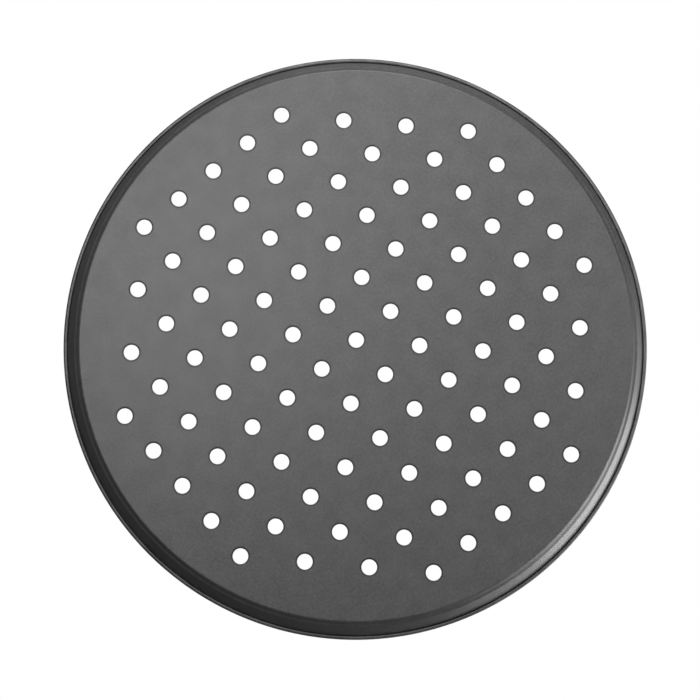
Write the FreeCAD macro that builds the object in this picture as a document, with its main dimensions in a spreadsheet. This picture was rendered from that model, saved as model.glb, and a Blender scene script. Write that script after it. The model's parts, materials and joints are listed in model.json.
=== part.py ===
"""A perforated pizza pan: one pressed steel sheet, with its edge rolled outwards round a stiffening wire.

Sizes are in millimetres and degrees. The origin is the centre of the floor's underside. +Z points up, and the pan
stands as it is used, with its floor at the bottom and its rolled rim at the top.
"""

import FreeCAD
import Part
import Sketcher
import enum
import math
import os

# Driving dimensions: name, value and what it measures.
SIZES = [
    ("outer_diameter", 320.0, "over the rolled rim"),
    ("pan_height", 18.0, "underside of the floor to the top of the rim"),
    ("flare_width", 12.75, "edge of the flat floor to the outside of the rolled rim, measured level"),
    ("sheet_thickness", 0.6, "pressed sheet, coating included"),
    ("floor_bend_radius", 1.0, "bend from the floor to the riser, on the food side"),
    ("riser_angle", 47.0, "slope of the low riser round the floor"),
    ("step_height", 1.85, "underside of the floor to the start of the ledge above the riser"),
    ("crease_radius", 0.3, "bend from the riser to the ledge, on the underside"),
    ("ledge_angle", 28.0, "slope of the ledge between the riser and the wall"),
    ("ledge_width", 1.05, "ledge, measured level"),
    ("shoulder_radius", 0.5, "bend from the ledge to the wall, on the food side"),
    ("wire_diameter", 1.3, "stiffening wire in the rim"),
    ("wire_clearance", 0.1, "between the wire and the sheet rolled round it"),
    ("crevice_gap", 0.8, "slit between the end of the rolled edge and the wall"),
    ("hole_diameter", 8.2, "holes in the floor"),
    ("hole_pitch", 24.0, "between the holes of a row, and between rows"),
    ("plain_margin", 15.0, "least distance from the centre of a hole to the edge of the flat floor"),
]

# The floor and the rolled edge, worked out from the driving dimensions.
FLOOR_RADIUS = "(Sizes.outer_diameter / 2 - Sizes.flare_width)"
CURL_RADIUS = "(Sizes.wire_diameter / 2 + Sizes.wire_clearance)"
BEAD_RADIUS = f"({CURL_RADIUS} + Sizes.sheet_thickness)"
BEAD_CENTRE_RADIUS = f"(Sizes.outer_diameter / 2 - {BEAD_RADIUS})"
BEAD_CENTRE_LEVEL = f"(Sizes.pan_height - {BEAD_RADIUS})"

UP = FreeCAD.Vector(0, 0, 1)


class EdgePoint(enum.IntEnum):
    """The numbers that the sketcher gives to the two ends and the centre of an edge, in its own order."""

    START = enum.auto()
    END = enum.auto()
    CENTRE = enum.auto()


START, END, CENTRE = EdgePoint
ORIGIN = (-1, START)


class Bend:
    """A bend of the sheet in section. Both faces of the sheet turn about its centre.

    A heading is the section's slope on its way outwards from the pan's axis, in degrees above level.
    """

    def __init__(self, name, centre, under_radius, food_radius, heading_in, heading_out):
        self.name = name
        self.centre = FreeCAD.Vector(centre[0], centre[1], 0)
        self.radius = {"under": under_radius, "food": food_radius}
        self.heading_in = heading_in
        self.heading_out = heading_out
        self.turn = 1 if heading_out > heading_in else -1
        self.first, self.last = (START, END) if self.turn > 0 else (END, START)

    def point(self, face, heading):
        """The point of one face where the section has this heading."""
        slope = math.radians(heading)
        outwards = FreeCAD.Vector(math.sin(slope), -math.cos(slope), 0)
        return self.centre + outwards * (self.turn * self.radius[face])

    def arc(self, face):
        """One face of the bend, as an arc that runs anticlockwise."""
        quarter = -90 * self.turn
        low, high = sorted((self.heading_in + quarter, self.heading_out + quarter))
        circle = Part.Circle(self.centre, UP, self.radius[face])
        return Part.ArcOfCircle(circle, math.radians(low), math.radians(high))


def make_size_sheet(doc):
    """Writes the driving dimensions into a spreadsheet and returns them as a dictionary too."""
    sheet = doc.addObject("Spreadsheet::Sheet", "Sizes")
    for row, (name, value, note) in enumerate(SIZES, start=1):
        sheet.set(f"A{row}", name)
        sheet.set(f"B{row}", str(value))
        sheet.setAlias(f"B{row}", name)
        sheet.set(f"C{row}", note)
    doc.recompute()
    return {name: float(sheet.get(name)) for name, _, _ in SIZES}


def new_sketch(body, name, plane_role):
    """A sketch on one of the body's own origin planes."""
    plane = next(feature for feature in body.Origin.OriginFeatures if feature.Role == plane_role)
    sketch = body.newObject("Sketcher::SketchObject", name)
    sketch.AttachmentSupport = [(plane, "")]
    sketch.MapMode = "FlatFace"
    return sketch


def bind(sketch, name, constraint, expression):
    """Adds a constraint whose value comes from the sizes."""
    sketch.renameConstraint(sketch.addConstraint(constraint), name)
    sketch.setExpression(f"Constraints.{name}", expression)


def floor_radius(size):
    """The radius of the flat floor, up to its bend."""
    return size["outer_diameter"] / 2 - size["flare_width"]


def lay_out_bends(size):
    """The four bends of the section, where the sketch starts from before its constraints hold it."""
    sheet = size["sheet_thickness"]
    riser = math.radians(size["riser_angle"])
    ledge = math.radians(size["ledge_angle"])

    # Floor to riser: the floor's underside is level 0 up to the bend.
    bend_radius = size["floor_bend_radius"] + sheet
    bend_centre = (floor_radius(size), bend_radius)
    riser_start_x = bend_centre[0] + bend_radius * math.sin(riser)
    riser_start_z = bend_centre[1] - bend_radius * math.cos(riser)

    # Riser to ledge: a tight crease, centred below the sheet.
    crease_radius = size["crease_radius"]
    crease_z = size["step_height"] - crease_radius * math.cos(ledge)
    riser_end_z = crease_z + crease_radius * math.cos(riser)
    riser_end_x = riser_start_x + (riser_end_z - riser_start_z) / math.tan(riser)
    crease_x = riser_end_x + crease_radius * math.sin(riser)

    # Ledge to wall: centred above the sheet.
    shoulder_radius = size["shoulder_radius"] + sheet
    ledge_end_x = crease_x - crease_radius * math.sin(ledge) + size["ledge_width"]
    ledge_end_z = size["step_height"] + size["ledge_width"] * math.tan(ledge)
    shoulder_x = ledge_end_x - shoulder_radius * math.sin(ledge)
    shoulder_z = ledge_end_z + shoulder_radius * math.cos(ledge)

    # Wall to rolled edge: the wall runs between the shoulder's circle and the curl's, on opposite sides of it.
    curl_radius = size["wire_diameter"] / 2 + size["wire_clearance"]
    bead_radius = curl_radius + sheet
    bead_x = size["outer_diameter"] / 2 - bead_radius
    bead_z = size["pan_height"] - bead_radius
    run, rise = bead_x - shoulder_x, bead_z - shoulder_z
    lean = math.asin((curl_radius + shoulder_radius) / math.hypot(run, rise))
    wall_angle = math.degrees(math.atan2(rise, run) + lean)

    # The edge is rolled until its end stands the crevice gap away from the wall.
    open_angle = math.degrees(math.acos((curl_radius - size["crevice_gap"]) / bead_radius))
    roll = 360 - open_angle

    return [
        Bend("floor_bend", bend_centre, bend_radius, bend_radius - sheet, 0, size["riser_angle"]),
        Bend("crease", (crease_x, crease_z), crease_radius, crease_radius + sheet,
             size["riser_angle"], size["ledge_angle"]),
        Bend("shoulder", (shoulder_x, shoulder_z), shoulder_radius, shoulder_radius - sheet,
             size["ledge_angle"], wall_angle),
        Bend("curl", (bead_x, bead_z), curl_radius, bead_radius, wall_angle, wall_angle - roll),
    ]


def draw_face(sketch, bends, face, start):
    """Draws one face of the sheet from the axis to the rolled end. Returns its straight lines and its arcs."""
    lines, arcs = [], []
    here = start
    for bend in bends:
        line = sketch.addGeometry(Part.LineSegment(here, bend.point(face, bend.heading_in)))
        if arcs:
            before = bends[len(arcs) - 1]
            sketch.addConstraint(Sketcher.Constraint("Tangent", arcs[-1], before.last, line, START))
        arc = sketch.addGeometry(bend.arc(face))
        sketch.addConstraint(Sketcher.Constraint("Tangent", line, END, arc, bend.first))
        lines.append(line)
        arcs.append(arc)
        here = bend.point(face, bend.heading_out)
    sketch.addConstraint(Sketcher.Constraint("Horizontal", lines[0]))
    return lines, arcs


def draw_section(sketch, size):
    """Draws the sheet's section from the pan's axis to the end of the rolled edge, and holds it with the sizes."""
    bends = lay_out_bends(size)
    axis_start = FreeCAD.Vector(0, 0, 0)
    axis_end = FreeCAD.Vector(0, size["sheet_thickness"], 0)
    under_lines, under_arcs = draw_face(sketch, bends, "under", axis_start)
    food_lines, food_arcs = draw_face(sketch, bends, "food", axis_end)

    # The two faces are joined at the axis and across the rolled end, and share the centres of their bends.
    axis = sketch.addGeometry(Part.LineSegment(axis_start, axis_end))
    curl = bends[-1]
    rolled_end = sketch.addGeometry(Part.LineSegment(
        curl.point("under", curl.heading_out), curl.point("food", curl.heading_out)))
    for first, first_end, second, second_end in [
        (axis, START, *ORIGIN),
        (axis, START, under_lines[0], START),
        (axis, END, food_lines[0], START),
        (rolled_end, START, under_arcs[-1], curl.last),
        (rolled_end, END, food_arcs[-1], curl.last),
        *((under, CENTRE, food, CENTRE) for under, food in zip(under_arcs, food_arcs)),
    ]:
        sketch.addConstraint(Sketcher.Constraint("Coincident", first, first_end, second, second_end))
    sketch.addConstraint(Sketcher.Constraint("Vertical", axis))
    sketch.addConstraint(Sketcher.Constraint("PointOnObject", under_arcs[-1], CENTRE, rolled_end))

    # Radii: the sheet's thickness is added on the outside of each bend.
    _, riser, ledge, wall = under_lines
    inside_radii = ["Sizes.floor_bend_radius", "Sizes.crease_radius", "Sizes.shoulder_radius", CURL_RADIUS]
    for bend, under, food, inside in zip(bends, under_arcs, food_arcs, inside_radii):
        inner, outer = (food, under) if bend.turn > 0 else (under, food)
        inner_radius, outer_radius = sorted(bend.radius.values())
        bind(sketch, f"{bend.name}_inside", Sketcher.Constraint("Radius", inner, inner_radius), inside)
        bind(sketch, f"{bend.name}_outside", Sketcher.Constraint("Radius", outer, outer_radius),
             f"{inside} + Sizes.sheet_thickness")

    # Places and slopes.
    floor_bend, crease, _, _ = bends
    bind(sketch, "floor_radius",
         Sketcher.Constraint("DistanceX", *ORIGIN, under_lines[0], END, floor_bend.centre.x),
         FLOOR_RADIUS)
    bind(sketch, "riser_slope",
         Sketcher.Constraint("Angle", riser, math.radians(crease.heading_in)), "Sizes.riser_angle")
    bind(sketch, "ledge_level",
         Sketcher.Constraint("DistanceY", *ORIGIN, ledge, START, size["step_height"]), "Sizes.step_height")
    bind(sketch, "ledge_slope",
         Sketcher.Constraint("Angle", ledge, math.radians(crease.heading_out)), "Sizes.ledge_angle")
    bind(sketch, "ledge_run",
         Sketcher.Constraint("DistanceX", ledge, START, ledge, END, size["ledge_width"]), "Sizes.ledge_width")
    bind(sketch, "bead_place",
         Sketcher.Constraint("DistanceX", *ORIGIN, under_arcs[-1], CENTRE, curl.centre.x), BEAD_CENTRE_RADIUS)
    bind(sketch, "bead_level",
         Sketcher.Constraint("DistanceY", *ORIGIN, under_arcs[-1], CENTRE, curl.centre.y), BEAD_CENTRE_LEVEL)
    bind(sketch, "crevice",
         Sketcher.Constraint("Distance", food_arcs[-1], curl.last, wall, size["crevice_gap"]),
         "Sizes.crevice_gap")


def hole_rows(size):
    """The rows of the square hole pattern: each row's number and how many holes it has each side of its middle."""
    reach = floor_radius(size) - size["plain_margin"]
    last_row = int(reach // size["hole_pitch"])
    for row in range(-last_row, last_row + 1):
        half_length = math.sqrt(reach ** 2 - (row * size["hole_pitch"]) ** 2)
        yield row, int(half_length // size["hole_pitch"])


def punch_row(body, size, row, side_count):
    """Punches one row of holes through the floor: its first hole, repeated along X."""
    tag = f"row_{row}".replace("-", "minus_")
    sketch = new_sketch(body, f"first_hole_{tag}", "XY_Plane")
    x, y = -side_count * size["hole_pitch"], row * size["hole_pitch"]
    circle = sketch.addGeometry(Part.Circle(FreeCAD.Vector(x, y, 0), UP, size["hole_diameter"] / 2))
    bind(sketch, "hole", Sketcher.Constraint("Diameter", circle, size["hole_diameter"]), "Sizes.hole_diameter")
    bind(sketch, "place_x", Sketcher.Constraint("DistanceX", *ORIGIN, circle, CENTRE, x),
         f"{-side_count} * Sizes.hole_pitch")
    bind(sketch, "place_y", Sketcher.Constraint("DistanceY", *ORIGIN, circle, CENTRE, y),
         f"{row} * Sizes.hole_pitch")

    first_hole = body.newObject("PartDesign::Pocket", f"punch_{tag}")
    first_hole.Profile = sketch
    first_hole.Type = "ThroughAll"
    first_hole.Reversed = True

    pattern = body.newObject("PartDesign::LinearPattern", f"holes_{tag}")
    pattern.Originals = [first_hole]
    pattern.Direction = (sketch, ["H_Axis"])
    pattern.Mode = "Spacing"
    pattern.setExpression("Offset", "Sizes.hole_pitch")
    pattern.Occurrences = 2 * side_count + 1
    body.Tip = pattern


def make_pan_shell(doc, size):
    """The pressed sheet: floor, step, wall and rolled edge in one turn of the section, then the holes."""
    body = doc.addObject("PartDesign::Body", "pan_shell")
    body.Label = "pan_shell"
    section = new_sketch(body, "sheet_section", "XZ_Plane")
    draw_section(section, size)
    pressing = body.newObject("PartDesign::Revolution", "pressing")
    pressing.Profile = section
    pressing.ReferenceAxis = (section, ["V_Axis"])
    pressing.Angle = 360
    doc.recompute()
    plain_volume = body.Shape.Volume

    hole_count = 0
    for row, side_count in hole_rows(size):
        punch_row(body, size, row, side_count)
        hole_count += 2 * side_count + 1
    doc.recompute()

    hole_area = math.pi * size["hole_diameter"] ** 2 / 4
    punched_out = hole_count * hole_area * size["sheet_thickness"]
    removed = plain_volume - body.Shape.Volume
    if abs(removed - punched_out) > 0.001 * punched_out:
        raise RuntimeError(f"the holes removed {removed:.1f} mm3 of {punched_out:.1f} mm3")
    print(f"{hole_count} holes")
    return body


def make_rim_wire(doc):
    """The stiffening wire, a closed ring that lies in the rolled edge."""
    wire = doc.addObject("Part::Torus", "rim_wire")
    wire.Label = "rim_wire"
    wire.setExpression("Radius1", BEAD_CENTRE_RADIUS)
    wire.setExpression("Radius2", "Sizes.wire_diameter / 2")
    wire.setExpression("Placement.Base.z", BEAD_CENTRE_LEVEL)
    return wire


def check_document(doc, sub_parts):
    """Stops if any object failed to compute, or a sub-part has no valid shape."""
    failed = [thing.Name for thing in doc.Objects if {"Invalid", "Error"} & set(thing.State)]
    failed += [part.Name for part in sub_parts if part.Shape.isNull() or not part.Shape.isValid()]
    if failed:
        raise RuntimeError("these objects failed: " + ", ".join(failed))


def main():
    doc = FreeCAD.newDocument("pizza_pan")
    size = make_size_sheet(doc)
    sub_parts = [make_pan_shell(doc, size), make_rim_wire(doc)]
    doc.recompute()
    check_document(doc, sub_parts)

    os.makedirs("parts", exist_ok=True)
    for part in sub_parts:
        box = part.Shape.optimalBoundingBox(False)
        print(f"{part.Label}: {len(part.Shape.Solids)} solid, {part.Shape.Volume:.0f} mm3, "
              f"{box.XLength:.2f} x {box.YLength:.2f} x {box.ZLength:.2f} mm, z {box.ZMin:.2f} to {box.ZMax:.2f}")
        part.Shape.exportStep(os.path.join("parts", part.Label + ".step"))


main()
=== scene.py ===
"""The looks of a perforated pizza pan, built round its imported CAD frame.

The pan is one pressed and coated steel sheet whose edge is rolled outwards round a stiffening wire. It
stands as it is used, rim up. The photograph shows its underside, so the photograph's camera stands below the
pan and looks up. Lengths are in metres, angles in degrees and greys are linear.
"""

import json
import logging
import math
from collections.abc import Iterator
from dataclasses import dataclass
from enum import Enum

import bmesh
import bpy
from bmesh.types import BMesh, BMVert
from bpy.types import Material, Node, NodeSocket, NodeTree, Object
from mathutils import Matrix, Vector


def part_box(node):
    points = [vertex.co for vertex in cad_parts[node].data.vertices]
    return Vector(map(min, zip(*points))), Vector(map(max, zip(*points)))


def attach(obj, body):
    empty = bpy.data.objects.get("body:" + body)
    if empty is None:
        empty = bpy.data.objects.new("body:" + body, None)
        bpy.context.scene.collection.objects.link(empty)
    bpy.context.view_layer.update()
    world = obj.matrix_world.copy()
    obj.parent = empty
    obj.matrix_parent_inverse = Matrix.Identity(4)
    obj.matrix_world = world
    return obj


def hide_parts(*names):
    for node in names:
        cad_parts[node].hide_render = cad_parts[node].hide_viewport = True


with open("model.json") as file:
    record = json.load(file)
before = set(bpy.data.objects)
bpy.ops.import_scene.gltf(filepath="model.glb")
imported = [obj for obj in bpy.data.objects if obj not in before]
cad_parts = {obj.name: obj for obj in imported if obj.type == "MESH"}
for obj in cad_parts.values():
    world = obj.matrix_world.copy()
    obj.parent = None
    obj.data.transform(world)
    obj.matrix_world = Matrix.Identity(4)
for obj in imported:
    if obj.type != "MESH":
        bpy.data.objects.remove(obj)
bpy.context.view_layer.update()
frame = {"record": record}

log = logging.getLogger("pizza_pan")

ORIGIN = Vector((0.0, 0.0, 0.0))
UP = Vector((0.0, 0.0, 1.0))
MERGE_DISTANCE = 1e-6
LEVEL_TOLERANCE = 1e-5
SHARP_ANGLE = 50.0
FLAT_WEIGHT = 100
QUARTER_TURN = 90.0
FULL_TURN = 360.0
WHITE = 1.0
FULL_SPAN = (0.0, 1.0)
HOLE_EDGE = "hole_edge"

Source = NodeSocket | float
Span = tuple[float, float]


class Face(Enum):
    """The two faces of the sheet."""

    UNDER = "under"
    FOOD = "food"


class Combine(Enum):
    """The ways in which two values become one."""

    SUM = "ADD"
    PRODUCT = "MULTIPLY"
    LARGER = "MAXIMUM"


class VectorStep(Enum):
    """What is worked out from a vector."""

    PRODUCT = "MULTIPLY"
    LENGTH = "LENGTH"
    HEADING = "NORMALIZE"


class Pen:
    """Draws an open outline in the XZ plane, one line or arc after the other."""

    TURN_AXIS = Vector((0.0, -1.0, 0.0))

    def __init__(self, bm: BMesh, start: Vector) -> None:
        """Sets the pen down.

        Args:
            bm: The mesh that the outline is drawn in.
            start: The outline's first point.
        """
        self.bm = bm
        self.tip = bmesh.ops.create_vert(bm, co=start)["vert"][0]

    def line_to(self, point: Vector) -> None:
        """Draws a straight line.

        Args:
            point: Where the line ends.
        """
        made = bmesh.ops.extrude_vert_indiv(self.bm, verts=[self.tip])
        self.tip = made["verts"][0]
        bmesh.ops.translate(self.bm, verts=[self.tip], vec=point - self.tip.co)

    def turn(self, centre: Vector, angle: float, steps: int) -> None:
        """Draws an arc about a centre.

        Args:
            centre: The arc's centre.
            angle: How far it turns, from +X towards +Z.
            steps: How many short edges it is made of.
        """
        made = bmesh.ops.spin(
            self.bm, geom=[self.tip], cent=centre, axis=self.TURN_AXIS, angle=math.radians(angle), steps=steps
        )
        self.tip = next(item for item in made["geom_last"] if isinstance(item, BMVert))


def spin_round(bm: BMesh, steps: int) -> None:
    """Spins the whole outline once round the Z axis and closes it.

    Args:
        bm: The mesh that holds nothing but the outline.
        steps: How many faces go round.
    """
    bmesh.ops.spin(
        bm, geom=[*bm.verts, *bm.edges], cent=ORIGIN, axis=UP, angle=math.tau, steps=steps, use_merge=True
    )


def join_into(bm: BMesh, other: BMesh) -> None:
    """Adds a second mesh to a first one and frees the second.

    Args:
        bm: The mesh that grows.
        other: The mesh that is added to it.
    """
    carrier = bpy.data.meshes.new("carrier")
    other.to_mesh(carrier)
    other.free()
    bm.from_mesh(carrier)
    bpy.data.meshes.remove(carrier)


def finish_piece(bm: BMesh, name: str, node: str, material: Material) -> Object:
    """Turns a mesh into a piece of the pan that stands for a CAD node.

    Args:
        bm: The finished mesh, which is freed.
        name: The piece's name.
        node: The CAD node that it stands for.
        material: The finish.

    Returns:
        The new object, at the origin.
    """
    mesh = bpy.data.meshes.new(name)
    bm.to_mesh(mesh)
    bm.free()
    mesh.set_sharp_from_angle(angle=math.radians(SHARP_ANGLE))
    mesh.materials.append(material)
    piece = bpy.data.objects.new(name, mesh)
    bpy.context.scene.collection.objects.link(piece)
    normals = piece.modifiers.new("level_flats", "WEIGHTED_NORMAL")
    normals.weight = FLAT_WEIGHT
    normals.keep_sharp = True
    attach(piece, "root")
    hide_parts(node)
    return piece


@dataclass(frozen=True)
class Bend:
    """A bend of the sheet in section. Both faces of the sheet turn about its centre.

    A heading is the slope of the section on its way outwards, in degrees above level.
    """

    centre: Vector
    under_radius: float
    food_radius: float
    heading_in: float
    heading_out: float
    steps: int

    @property
    def turn(self) -> float:
        """How far the section turns upwards, less than 0 where it turns down."""
        return self.heading_out - self.heading_in

    def point(self, face: Face, heading: float) -> Vector:
        """Finds where one face has a heading.

        Args:
            face: The face of the sheet.
            heading: The slope of the section there.

        Returns:
            The point in the XZ plane.
        """
        radius = self.under_radius if face is Face.UNDER else self.food_radius
        slope = math.radians(heading)
        below = Vector((math.sin(slope), 0.0, -math.cos(slope)))
        return self.centre + below * math.copysign(radius, self.turn)


@dataclass(frozen=True)
class SheetSection:
    """The section of the pressed sheet from the edge of the flat floor to the end of the rolled edge."""

    outer_radius: float
    sheet: float
    wire_radius: float
    bead_centre: Vector
    flare_width: float = 0.01275
    floor_bend_radius: float = 0.0010
    riser_angle: float = 47.0
    step_height: float = 0.00185
    crease_radius: float = 0.0003
    ledge_angle: float = 28.0
    ledge_width: float = 0.00105
    shoulder_radius: float = 0.0005
    crevice_gap: float = 0.0008
    arc_step: float = 10.0

    @classmethod
    def from_frame(cls) -> "SheetSection":
        """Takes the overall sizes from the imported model.

        Returns:
            The section, with its other sizes as they stand above.
        """
        shell_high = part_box("pan_shell")[1]
        wire_low, wire_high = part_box("rim_wire")
        wire_radius = (wire_high.z - wire_low.z) / 2
        mounts = {mount["name"]: mount["pos_m"] for mount in frame["record"]["mounts"]}
        return cls(
            outer_radius=shell_high.x,
            sheet=mounts["baking_floor"][2] - mounts["base"][2],
            wire_radius=wire_radius,
            bead_centre=Vector((wire_high.x - wire_radius, 0.0, wire_high.z - wire_radius)),
        )

    @property
    def floor_radius(self) -> float:
        """The radius of the flat floor, up to its bend."""
        return self.outer_radius - self.flare_width

    @property
    def curl_radius(self) -> float:
        """The radius of the hollow in the rolled edge."""
        return self.outer_radius - self.bead_centre.x - self.sheet

    def bend(self, centre: Vector, inside: float, heading_in: float, heading_out: float) -> Bend:
        """Makes one bend, with the sheet's thickness added on its outside.

        Args:
            centre: The centre that both faces share.
            inside: The smaller radius.
            heading_in: The slope before the bend.
            heading_out: The slope after it.

        Returns:
            The bend.
        """
        outside = inside + self.sheet
        turns_up = heading_out > heading_in
        steps = math.ceil(abs(heading_out - heading_in) / self.arc_step) + 1
        under, food = (outside, inside) if turns_up else (inside, outside)
        return Bend(centre, under, food, heading_in, heading_out, steps)

    def bends(self) -> list[Bend]:
        """Works out the four bends, from the floor outwards.

        Returns:
            Floor to riser, riser to ledge, ledge to wall, and wall to rolled edge.
        """
        riser = math.radians(self.riser_angle)
        ledge = math.radians(self.ledge_angle)

        low_radius = self.floor_bend_radius + self.sheet
        low_centre = Vector((self.floor_radius, 0.0, low_radius))
        low = self.bend(low_centre, self.floor_bend_radius, 0.0, self.riser_angle)

        crease_z = self.step_height - self.crease_radius * math.cos(ledge)
        riser_start = low.point(Face.UNDER, self.riser_angle)
        riser_end_z = crease_z + self.crease_radius * math.cos(riser)
        riser_end_x = riser_start.x + (riser_end_z - riser_start.z) / math.tan(riser)
        crease_centre = Vector((riser_end_x + self.crease_radius * math.sin(riser), 0.0, crease_z))
        crease = self.bend(crease_centre, self.crease_radius, self.riser_angle, self.ledge_angle)

        ledge_start = crease.point(Face.UNDER, self.ledge_angle)
        ledge_end = ledge_start + self.ledge_width * Vector((1.0, 0.0, math.tan(ledge)))
        shoulder_under = self.shoulder_radius + self.sheet
        shoulder_centre = ledge_end + shoulder_under * Vector((-math.sin(ledge), 0.0, math.cos(ledge)))

        across = self.bead_centre - shoulder_centre
        lean = math.asin((self.curl_radius + shoulder_under) / across.length)
        wall_angle = math.degrees(math.atan2(across.z, across.x) + lean)
        shoulder = self.bend(shoulder_centre, self.shoulder_radius, self.ledge_angle, wall_angle)

        bead_radius = self.curl_radius + self.sheet
        opening = math.degrees(math.acos((self.curl_radius - self.crevice_gap) / bead_radius))
        curl = self.bend(self.bead_centre, self.curl_radius, wall_angle, wall_angle - FULL_TURN + opening)
        return [low, crease, shoulder, curl]

    def draw(self, bm: BMesh) -> None:
        """Draws the sheet out along its underside, round its rolled end and back along its food side.

        Args:
            bm: The empty mesh that the outline is drawn in.
        """
        first, *others = self.bends()
        pen = Pen(bm, first.point(Face.UNDER, first.heading_in))
        pen.turn(first.centre, first.turn, first.steps)
        for bend in others:
            pen.line_to(bend.point(Face.UNDER, bend.heading_in))
            pen.turn(bend.centre, bend.turn, bend.steps)
        for bend in (*reversed(others), first):
            pen.line_to(bend.point(Face.FOOD, bend.heading_out))
            pen.turn(bend.centre, -bend.turn, bend.steps)


@dataclass(frozen=True)
class HolePattern:
    """Round holes on a square grid, each with the drawn-in lips of a punched and coated edge."""

    diameter: float = 0.0082
    pitch: float = 0.024
    plain_margin: float = 0.0150
    lip_depth: float = 0.00027
    lip_width: float = 0.0012
    lip_steps: int = 5
    round_steps: int = 40

    def places(self, floor_radius: float) -> Iterator[Vector]:
        """Lists the centres of the holes.

        Args:
            floor_radius: The radius of the flat floor.

        Yields:
            Each centre, row by row.
        """
        reach = floor_radius - self.plain_margin
        last = int(reach // self.pitch)
        for row in range(-last, last + 1):
            for column in range(-last, last + 1):
                place = Vector((column, row, 0.0)) * self.pitch
                if place.length <= reach:
                    yield place

    def draw_lip(self, bm: BMesh, sheet: float) -> None:
        """Draws the section of one hole's edge, from its underside to its food side.

        The lips are drawn round and then stretched outwards, because a punch draws the sheet in as it cuts.

        Args:
            bm: The empty mesh that the outline is drawn in.
            sheet: The thickness of the sheet.
        """
        lip = self.lip_depth
        pen = Pen(bm, Vector((lip, 0.0, 0.0)))
        pen.turn(Vector((lip, 0.0, lip)), -QUARTER_TURN, self.lip_steps)
        pen.line_to(Vector((0.0, 0.0, sheet - lip)))
        pen.turn(Vector((lip, 0.0, sheet - lip)), -QUARTER_TURN, self.lip_steps)
        bmesh.ops.scale(bm, verts=bm.verts, vec=(self.lip_width / lip, 1.0, 1.0))
        bmesh.ops.translate(bm, verts=bm.verts, vec=(self.diameter / 2, 0.0, 0.0))

    def punch(self, floor_radius: float, sheet: float) -> BMesh:
        """Makes the edges of all the holes and marks how far each point is drawn in, as the mask for the
        painted shade at the lips.

        Args:
            floor_radius: The radius of the flat floor.
            sheet: The thickness of the sheet.

        Returns:
            A mesh of one short tube for each hole.
        """
        bm = bmesh.new()
        self.draw_lip(bm, sheet)
        spin_round(bm, self.round_steps)
        lip_shade_mask = bm.verts.layers.float.new(HOLE_EDGE)
        for vert in bm.verts:
            vert[lip_shade_mask] = 1.0 - (vert.co.to_2d().length - self.diameter / 2) / self.lip_width
        # The edge that is copied already lies at the pan's centre.
        first = [*bm.verts, *bm.edges, *bm.faces]
        for place in self.places(floor_radius):
            if place == ORIGIN:
                continue
            copied = bmesh.ops.duplicate(bm, geom=first)["geom"]
            verts = [item for item in copied if isinstance(item, BMVert)]
            bmesh.ops.translate(bm, verts=verts, vec=place)
        return bm


@dataclass(frozen=True)
class PanShell:
    """The pressed sheet: perforated floor, step, flared wall and rolled edge."""

    section: SheetSection
    holes: HolePattern = HolePattern()
    round_steps: int = 320

    def press(self) -> BMesh:
        """Makes the sheet's mesh: the turned rim, the holes' edges and the two flat faces between them.

        Returns:
            A closed mesh.
        """
        bm = bmesh.new()
        self.section.draw(bm)
        spin_round(bm, self.round_steps)
        join_into(bm, self.holes.punch(self.section.floor_radius, self.section.sheet))
        for face in bm.faces:
            face.smooth = True
        self.close_floor(bm, 0.0, -UP)
        self.close_floor(bm, self.section.sheet, UP)
        bmesh.ops.remove_doubles(bm, verts=bm.verts, dist=MERGE_DISTANCE)
        bmesh.ops.recalc_face_normals(bm, faces=bm.faces)
        return bm

    def close_floor(self, bm: BMesh, level: float, outwards: Vector) -> None:
        """Fills one flat face of the floor between its edge and the holes.

        Args:
            bm: The mesh with the open rings.
            level: The height of the face.
            outwards: The way that it faces.
        """
        rings = [
            edge for edge in bm.edges
            if edge.is_boundary and all(abs(vert.co.z - level) < LEVEL_TOLERANCE for vert in edge.verts)
        ]
        bmesh.ops.triangle_fill(bm, edges=rings, use_beauty=True, normal=outwards)

    def build(self, material: Material) -> Object:
        """Makes the dressed piece.

        Args:
            material: The coating.

        Returns:
            The piece.
        """
        return finish_piece(self.press(), "coated_sheet", "pan_shell", material)


@dataclass(frozen=True)
class RimWire:
    """The stiffening wire that the edge is rolled round."""

    section: SheetSection
    section_steps: int = 16
    round_steps: int = 320

    def build(self, material: Material) -> Object:
        """Makes the dressed piece.

        Args:
            material: The wire's steel.

        Returns:
            The piece.
        """
        bm = bmesh.new()
        bmesh.ops.create_circle(
            bm, cap_ends=False, segments=self.section_steps, radius=self.section.wire_radius
        )
        upright = Matrix.Rotation(math.radians(QUARTER_TURN), 3, "X")
        bmesh.ops.rotate(bm, verts=bm.verts, cent=ORIGIN, matrix=upright)
        bmesh.ops.translate(bm, verts=bm.verts, vec=self.section.bead_centre)
        spin_round(bm, self.round_steps)
        bmesh.ops.recalc_face_normals(bm, faces=bm.faces)
        for face in bm.faces:
            face.smooth = True
        return finish_piece(bm, "stiffening_wire", "rim_wire", material)


def grey(value: float) -> tuple[float, float, float, float]:
    """A neutral colour of one linear value."""
    return (value, value, value, 1.0)


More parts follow.
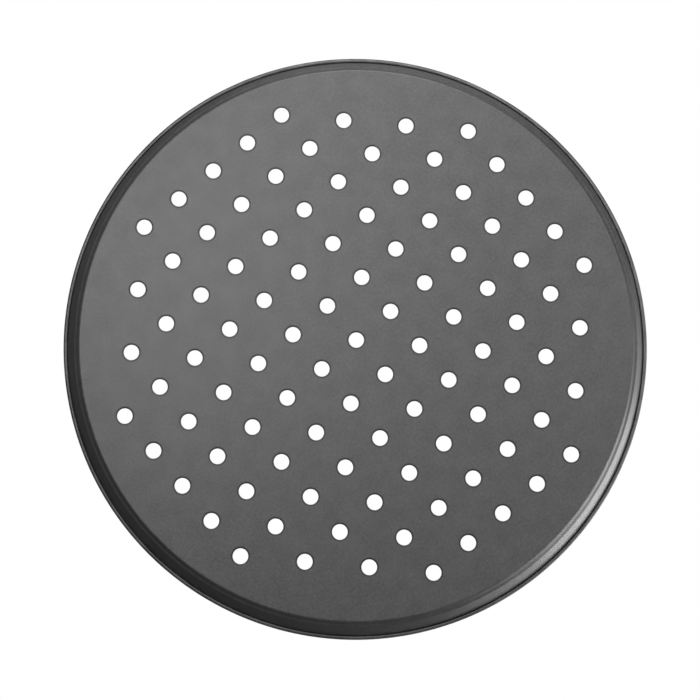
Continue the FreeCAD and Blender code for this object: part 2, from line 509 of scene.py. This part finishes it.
class Wiring:
    """Adds nodes to one node tree and links them."""

    def __init__(self, tree: NodeTree) -> None:
        """Keeps the tree that the nodes go into."""
        self.tree = tree

    def feed(self, source: Source, socket: NodeSocket) -> None:
        """Links a socket to another one, or sets it to a plain value.

        Args:
            source: The other socket, or the value.
            socket: The socket that is fed.
        """
        if isinstance(source, NodeSocket):
            self.tree.links.new(source, socket)
        else:
            socket.default_value = source

    def noise(
        self, place: NodeSocket, per_metre: Source, detail: float, roughness: float = 0.5
    ) -> NodeSocket:
        """Adds a noise texture.

        Args:
            place: The coordinates that it reads.
            per_metre: How many features there are to the metre.
            detail: How many finer layers are added.
            roughness: How strong each finer layer is, as a share of the one before.

        Returns:
            The noise, from 0 to 1.
        """
        node = self.tree.nodes.new("ShaderNodeTexNoise")
        node.inputs["Detail"].default_value = detail
        node.inputs["Roughness"].default_value = roughness
        self.feed(place, node.inputs["Vector"])
        self.feed(per_metre, node.inputs["Scale"])
        return node.outputs["Fac"]

    def ramp(self, value: NodeSocket, span: Span = FULL_SPAN, to: Span = FULL_SPAN) -> NodeSocket:
        """Adds a smooth ramp from one range of values to another.

        Args:
            value: The value that is mapped.
            span: The range that it comes from.
            to: The range that it goes to.

        Returns:
            The mapped value.
        """
        node = self.tree.nodes.new("ShaderNodeMapRange")
        node.interpolation_type = "SMOOTHSTEP"
        self.feed(value, node.inputs["Value"])
        for name, number in zip(("From Min", "From Max", "To Min", "To Max"), (*span, *to)):
            node.inputs[name].default_value = number
        return node.outputs["Result"]

    def combine(self, way: Combine, first: NodeSocket, second: Source) -> NodeSocket:
        """Makes one value from two.

        Args:
            way: Whether they are added, multiplied or compared.
            first: The first value.
            second: The second value.

        Returns:
            The result.
        """
        node = self.tree.nodes.new("ShaderNodeMath")
        node.operation = way.value
        for source, socket in zip((first, second), node.inputs):
            self.feed(source, socket)
        return node.outputs["Value"]

    def vector(self, step: VectorStep, first: NodeSocket, second: Vector | None = None) -> NodeSocket:
        """Works out something from a vector.

        Args:
            step: What is worked out.
            first: The vector.
            second: A fixed second vector, for a product.

        Returns:
            The result.
        """
        node = self.tree.nodes.new("ShaderNodeVectorMath")
        node.operation = step.value
        first_socket, second_socket = node.inputs[:2]
        self.feed(first, first_socket)
        if second is not None:
            second_socket.default_value = second
        return node.outputs["Value" if step is VectorStep.LENGTH else "Vector"]

    def mix_greys(self, mask: NodeSocket, low: Source, high: float) -> NodeSocket:
        """Adds a mix between two greys.

        Args:
            mask: 0 for the first grey, 1 for the second.
            low: The first grey.
            high: The second grey.

        Returns:
            The mixed colour.
        """
        node = self.tree.nodes.new("ShaderNodeMix")
        node.data_type = "RGBA"
        # The node holds sockets of one name for each type of data, so these go by their identifiers.
        inputs = {socket.identifier: socket for socket in node.inputs}
        outputs = {socket.identifier: socket for socket in node.outputs}
        self.feed(mask, inputs["Factor_Float"])
        self.feed(low if isinstance(low, NodeSocket) else grey(low), inputs["A_Color"])
        self.feed(grey(high), inputs["B_Color"])
        return outputs["Result_Color"]

    def relief(self, height: NodeSocket, depth: float, shader: Node) -> None:
        """Raises a fine relief on a surface.

        Args:
            height: The relief, from 0 to 1.
            depth: How high a value of 1 stands.
            shader: The surface shader.
        """
        node = self.tree.nodes.new("ShaderNodeBump")
        node.inputs["Distance"].default_value = depth
        self.feed(height, node.inputs["Height"])
        self.feed(node.outputs["Normal"], shader.inputs["Normal"])


class GrainGroup:
    """A shared effect: soft mottling and a fine grain, on the piece's own coordinates."""

    NAME = "mottled_grain"
    MOTTLE_DETAIL = 3.0
    MOTTLE_SPAN = (0.3, 0.7)
    GRAIN_DETAIL = 3.0
    GRAIN_ROUGHNESS = 0.7
    GRAIN_SPAN = (0.3, 0.7)

    def __init__(self) -> None:
        """Builds the group."""
        tree = bpy.data.node_groups.new(self.NAME, "ShaderNodeTree")
        tree.interface.new_socket("Place", in_out="INPUT", socket_type="NodeSocketVector")
        tree.interface.new_socket("Mottles per metre", in_out="INPUT", socket_type="NodeSocketFloat")
        tree.interface.new_socket("Grains per metre", in_out="INPUT", socket_type="NodeSocketFloat")
        tree.interface.new_socket("Mottle", in_out="OUTPUT", socket_type="NodeSocketFloat")
        tree.interface.new_socket("Grain", in_out="OUTPUT", socket_type="NodeSocketFloat")
        entry = tree.nodes.new("NodeGroupInput")
        leave = tree.nodes.new("NodeGroupOutput")
        wiring = Wiring(tree)
        place = entry.outputs["Place"]
        mottle = wiring.noise(place, entry.outputs["Mottles per metre"], self.MOTTLE_DETAIL)
        grain = wiring.noise(
            place, entry.outputs["Grains per metre"], self.GRAIN_DETAIL, self.GRAIN_ROUGHNESS
        )
        wiring.feed(wiring.ramp(mottle, self.MOTTLE_SPAN), leave.inputs["Mottle"])
        wiring.feed(wiring.ramp(grain, self.GRAIN_SPAN), leave.inputs["Grain"])
        self.tree = tree

    def place_in(
        self, wiring: Wiring, place: NodeSocket, mottles: float, grains: float
    ) -> tuple[NodeSocket, NodeSocket]:
        """Puts the effect into a material.

        Args:
            wiring: The material's node tree.
            place: The coordinates that the effect reads.
            mottles: Mottles to the metre.
            grains: Grains to the metre.

        Returns:
            The mottling and the grain, each from 0 to 1.
        """
        group = wiring.tree.nodes.new("ShaderNodeGroup")
        group.node_tree = self.tree
        wiring.feed(place, group.inputs["Place"])
        group.inputs["Mottles per metre"].default_value = mottles
        group.inputs["Grains per metre"].default_value = grains
        return group.outputs["Mottle"], group.outputs["Grain"]


def new_material(name: str) -> tuple[Material, Wiring, Node]:
    """Makes an empty node material.

    Args:
        name: Its name.

    Returns:
        The material, its node tree and its surface shader.
    """
    material = bpy.data.materials.new(name)
    material.use_nodes = True
    tree = material.node_tree
    return material, Wiring(tree), tree.nodes["Principled BSDF"]


def object_place(wiring: Wiring) -> NodeSocket:
    """Adds the piece's own coordinates, in metres."""
    return wiring.tree.nodes.new("ShaderNodeTexCoord").outputs["Object"]


@dataclass(frozen=True)
class CoatingFinish:
    """A satin dark grey coating with metal flake, draw marks on the wall, painted shade that darkens the hole
    edges, and rubbed patches on the bead that also paint a lighter sheen on it.
    """

    wall_start: float
    bead_start: float
    dark: float = 0.105
    light: float = 0.155
    grain_share: float = 0.7
    # Painted shade: the grey that the hole lips are darkened to, standing in for the shade on their rolled
    # edges.
    lip_painted_shade_grey: float = 0.055
    lip_painted_shade_span: Span = (0.0, 0.5)
    # Partly wear, partly painted sheen: the lighter grey of the patches on the bead.
    rubbed_and_sheen_grey: float = 0.180
    metal_flake: float = 0.50
    rough_low: float = 0.40
    rough_high: float = 0.50
    mottles: float = 90.0
    grains: float = 700.0
    draw_marks: float = 130.0
    draw_mark_detail: float = 2.0
    draw_mark_share: float = 0.3
    rub_and_sheen_patches: float = 90.0
    rub_and_sheen_detail: float = 4.0
    rub_and_sheen_span: Span = (0.35, 0.65)
    fade_width: float = 0.002
    relief: float = 0.000020
    plan_only: Vector = Vector((1.0, 1.0, 0.0))

    def material(self, group: GrainGroup) -> Material:
        """Makes the material.

        Args:
            group: The shared grain.

        Returns:
            The coating.
        """
        material, wiring, shader = new_material("nonstick_coating")
        place = object_place(wiring)
        mottle, grain = group.place_in(wiring, place, self.mottles, self.grains)
        plan = wiring.vector(VectorStep.PRODUCT, place, self.plan_only)
        radius = wiring.vector(VectorStep.LENGTH, plan)

        grain_part = wiring.combine(Combine.PRODUCT, grain, self.grain_share)
        mottle_part = wiring.combine(Combine.PRODUCT, mottle, 1.0 - self.grain_share)
        shade = wiring.combine(Combine.SUM, grain_part, mottle_part)
        colour = wiring.mix_greys(shade, self.dark, self.light)
        on_bead = wiring.ramp(radius, (self.bead_start - self.fade_width, self.bead_start))
        # Partly wear, partly painted sheen: patches on the outer bead are lightened, which also brightens the
        # bead the way a highlight would.
        colour = wiring.mix_greys(self.rubbed_and_sheen_bead(wiring, place, on_bead), colour, self.rubbed_and_sheen_grey)
        # Painted shade: the hole lips are darkened across their width, standing in for the shade that falls
        # on the rolled edge of each hole.
        edge = wiring.tree.nodes.new("ShaderNodeAttribute")
        edge.attribute_name = HOLE_EDGE
        lip_shade_mask = wiring.ramp(edge.outputs["Fac"], self.lip_painted_shade_span)
        colour = wiring.mix_greys(lip_shade_mask, colour, self.lip_painted_shade_grey)
        wiring.feed(colour, shader.inputs["Base Color"])

        rough = wiring.ramp(grain, to=(self.rough_low, self.rough_high))
        wiring.feed(rough, shader.inputs["Roughness"])
        shader.inputs["Metallic"].default_value = self.metal_flake
        marks = self.wall_marks(wiring, plan, radius, on_bead)
        wiring.relief(wiring.combine(Combine.SUM, grain, marks), self.relief, shader)
        return material

    def wall_marks(
        self, wiring: Wiring, plan: NodeSocket, radius: NodeSocket, on_bead: NodeSocket
    ) -> NodeSocket:
        """Adds the fine marks that pressing leaves up the wall, each at one angle round the pan.

        Args:
            wiring: The material's node tree.
            plan: The place on the pan's plan.
            radius: The distance from the pan's axis.
            on_bead: 1 on the bead, 0 inside it.

        Returns:
            The marks' height, 0 on the floor and on the bead.
        """
        heading = wiring.vector(VectorStep.HEADING, plan)
        marks = wiring.noise(heading, self.draw_marks, self.draw_mark_detail)
        past_floor = wiring.ramp(radius, (self.wall_start, self.wall_start + self.fade_width))
        inside_bead = wiring.ramp(on_bead, to=(self.draw_mark_share, 0.0))
        on_wall = wiring.combine(Combine.PRODUCT, past_floor, inside_bead)
        return wiring.combine(Combine.PRODUCT, marks, on_wall)

    def rubbed_and_sheen_bead(self, wiring: Wiring, place: NodeSocket, on_bead: NodeSocket) -> NodeSocket:
        """Adds the patches where handling has rubbed the bead. The same patches also lighten it as a painted
        sheen.

        Args:
            wiring: The material's node tree.
            place: The piece's own coordinates.
            on_bead: 1 on the bead, 0 inside it.

        Returns:
            The patches, from 0 to 1.
        """
        patches = wiring.ramp(wiring.noise(place, self.rub_and_sheen_patches, self.rub_and_sheen_detail), self.rub_and_sheen_span)
        return wiring.combine(Combine.PRODUCT, patches, on_bead)


@dataclass(frozen=True)
class WireFinish:
    """Plain drawn steel wire, dulled by heat."""

    dark: float = 0.38
    light: float = 0.52
    metal: float = 1.0
    rough_low: float = 0.32
    rough_high: float = 0.46
    mottles: float = 400.0
    grains: float = 6000.0
    relief: float = 0.000004

    def material(self, group: GrainGroup) -> Material:
        """Makes the material.

        Args:
            group: The shared grain.

        Returns:
            The wire's steel.
        """
        material, wiring, shader = new_material("drawn_wire_steel")
        mottle, grain = group.place_in(wiring, object_place(wiring), self.mottles, self.grains)
        wiring.feed(wiring.mix_greys(mottle, self.dark, self.light), shader.inputs["Base Color"])
        shader.inputs["Metallic"].default_value = self.metal
        rough = wiring.ramp(grain, to=(self.rough_low, self.rough_high))
        wiring.feed(rough, shader.inputs["Roughness"])
        wiring.relief(grain, self.relief, shader)
        return material


@dataclass(frozen=True)
class PhotoCamera:
    """The photograph's camera, below the pan."""

    place: Vector = Vector((-0.04344, 0.03773, -0.59491))
    aim: Vector = Vector((-0.00602, 0.00191, 0.0))
    picture_up: float = -49.905
    lens: float = 57.56
    sensor: float = 36.0
    clip_start: float = 0.01

    def build(self) -> Object:
        """Makes the scene's camera.

        Returns:
            The camera.
        """
        heading = math.radians(self.picture_up)
        forward = (self.aim - self.place).normalized()
        right = forward.cross(Vector((math.cos(heading), math.sin(heading), 0.0))).normalized()
        turned = Matrix((right, right.cross(forward), -forward)).transposed()
        data = bpy.data.cameras.new("photo_camera")
        data.lens = self.lens
        data.sensor_width = self.sensor
        data.clip_start = self.clip_start
        camera = bpy.data.objects.new("photo_camera", data)
        camera.matrix_world = Matrix.Translation(self.place) @ turned.to_4x4()
        bpy.context.scene.collection.objects.link(camera)
        bpy.context.scene.camera = camera
        return camera


@dataclass(frozen=True)
class Lamp:
    """A soft rectangular lamp that faces the middle of the pan."""

    name: str
    azimuth: float
    elevation: float
    distance: float
    width: float
    height: float
    watts: float

    def build(self) -> Object:
        """Hangs the lamp.

        Returns:
            The lamp.
        """
        data = bpy.data.lights.new(self.name, "AREA")
        data.shape = "RECTANGLE"
        data.size = self.width
        data.size_y = self.height
        data.energy = self.watts
        lamp = bpy.data.objects.new(self.name, data)
        azimuth, elevation = math.radians(self.azimuth), math.radians(self.elevation)
        level = math.cos(elevation)
        towards = Vector((level * math.cos(azimuth), level * math.sin(azimuth), math.sin(elevation)))
        lamp.location = towards * self.distance
        lamp.rotation_euler = towards.to_track_quat("Z", "Y").to_euler()
        lamp.visible_camera = False
        bpy.context.scene.collection.objects.link(lamp)
        return lamp


@dataclass(frozen=True)
class Studio:
    """A plain pale floor that shows from above only, a white surround and soft lamps above and below."""

    floor_size: float = 4.0
    floor_gap: float = 0.0002
    floor_grey: float = 0.80
    floor_roughness: float = 0.9
    fade_start: float = 0.35
    fade_end: float = 1.2
    surround: float = 0.04
    surround_gloss: float = 0.08
    lamps: tuple[Lamp, ...] = (
        Lamp("under_key", azimuth=270.0, elevation=-69.0, distance=1.07, width=0.45, height=0.45, watts=1.75),
        Lamp("under_fill", azimuth=6.0, elevation=-66.0, distance=1.10, width=1.0, height=1.0, watts=2.15),
        Lamp("under_left", azimuth=235.0, elevation=-70.0, distance=1.08, width=0.4, height=0.4, watts=1.25),
        Lamp("under_right", azimuth=20.0, elevation=-35.0, distance=1.0, width=0.6, height=0.5, watts=1.45),
        Lamp("under_back", azimuth=312.0, elevation=-38.0, distance=1.0, width=0.6, height=0.35, watts=4.1),
        Lamp("side_tall", azimuth=67.0, elevation=22.0, distance=1.0, width=0.55, height=0.8, watts=4.1),
        Lamp("side_wide", azimuth=67.0, elevation=25.0, distance=1.0, width=1.3, height=0.7, watts=3.4),
        Lamp("side_low", azimuth=73.0, elevation=-17.0, distance=1.0, width=0.5, height=0.3, watts=2.25),
        Lamp("back_tall", azimuth=318.0, elevation=22.0, distance=1.0, width=1.0, height=0.7, watts=0.95),
        Lamp("over_panel", azimuth=0.0, elevation=90.0, distance=2.0, width=1.8, height=1.8, watts=28.0),
    )

    def build_floor(self) -> Object:
        """Lays the floor just under the pan.

        Returns:
            The floor.
        """
        bm = bmesh.new()
        bmesh.ops.create_grid(bm, x_segments=1, y_segments=1, size=self.floor_size / 2)
        bmesh.ops.translate(bm, verts=bm.verts, vec=-UP * self.floor_gap)
        mesh = bpy.data.meshes.new("studio_floor")
        bm.to_mesh(mesh)
        bm.free()
        mesh.materials.append(self.floor_material())
        floor = bpy.data.objects.new("studio_floor", mesh)
        floor.visible_shadow = False
        floor.visible_diffuse = False
        floor.visible_glossy = False
        floor.visible_transmission = False
        bpy.context.scene.collection.objects.link(floor)
        return floor

    def floor_material(self) -> Material:
        """Makes the floor's finish, which is open to a camera below it and fades into the surround.

        Returns:
            The material.
        """
        material, wiring, shader = new_material("pale_floor")
        tree = wiring.tree
        shader.inputs["Base Color"].default_value = grey(self.floor_grey)
        shader.inputs["Roughness"].default_value = self.floor_roughness
        away = wiring.vector(VectorStep.LENGTH, object_place(wiring))
        faded = wiring.ramp(away, (self.fade_start, self.fade_end))
        below = tree.nodes.new("ShaderNodeNewGeometry").outputs["Backfacing"]
        clear = tree.nodes.new("ShaderNodeBsdfTransparent")
        mix = tree.nodes.new("ShaderNodeMixShader")
        share, covered, open_below = mix.inputs
        wiring.feed(wiring.combine(Combine.LARGER, faded, below), share)
        wiring.feed(shader.outputs["BSDF"], covered)
        wiring.feed(clear.outputs["BSDF"], open_below)
        wiring.feed(mix.outputs["Shader"], tree.nodes["Material Output"].inputs["Surface"])
        return material

    def build_surround(self) -> None:
        """Makes the world: white to the camera, and dimmer in the pan's gloss and as light on it."""
        world = bpy.data.worlds.new("white_surround")
        world.use_nodes = True
        wiring = Wiring(world.node_tree)
        background = world.node_tree.nodes["Background"]
        background.inputs["Color"].default_value = grey(WHITE)
        path = world.node_tree.nodes.new("ShaderNodeLightPath").outputs
        gloss = wiring.combine(Combine.LARGER, path["Is Glossy Ray"], path["Is Transmission Ray"])
        dim = wiring.ramp(gloss, to=(self.surround, self.surround_gloss))
        strength = wiring.combine(Combine.LARGER, dim, path["Is Camera Ray"])
        wiring.feed(strength, background.inputs["Strength"])
        bpy.context.scene.world = world

    def build(self) -> None:
        """Sets up the floor, the surround and the lamps."""
        self.build_floor()
        self.build_surround()
        for lamp in self.lamps:
            lamp.build()
        bpy.context.scene.view_settings.view_transform = "Standard"


def main() -> None:
    """Builds the pan's finishes and pieces, reports the pieces, and sets up the studio and the camera."""
    logging.basicConfig(level=logging.INFO, format="%(name)s: %(message)s")
    section = SheetSection.from_frame()
    grain = GrainGroup()
    coating = CoatingFinish(wall_start=section.floor_radius, bead_start=section.bead_centre.x)
    pieces = [
        PanShell(section).build(coating.material(grain)),
        RimWire(section).build(WireFinish().material(grain)),
    ]
    for piece in pieces:
        piece.data.calc_loop_triangles()
        log.info("%s: %d triangles", piece.name, len(piece.data.loop_triangles))
    Studio().build()
    PhotoCamera().build()


if __name__ == "__main__":
    main()
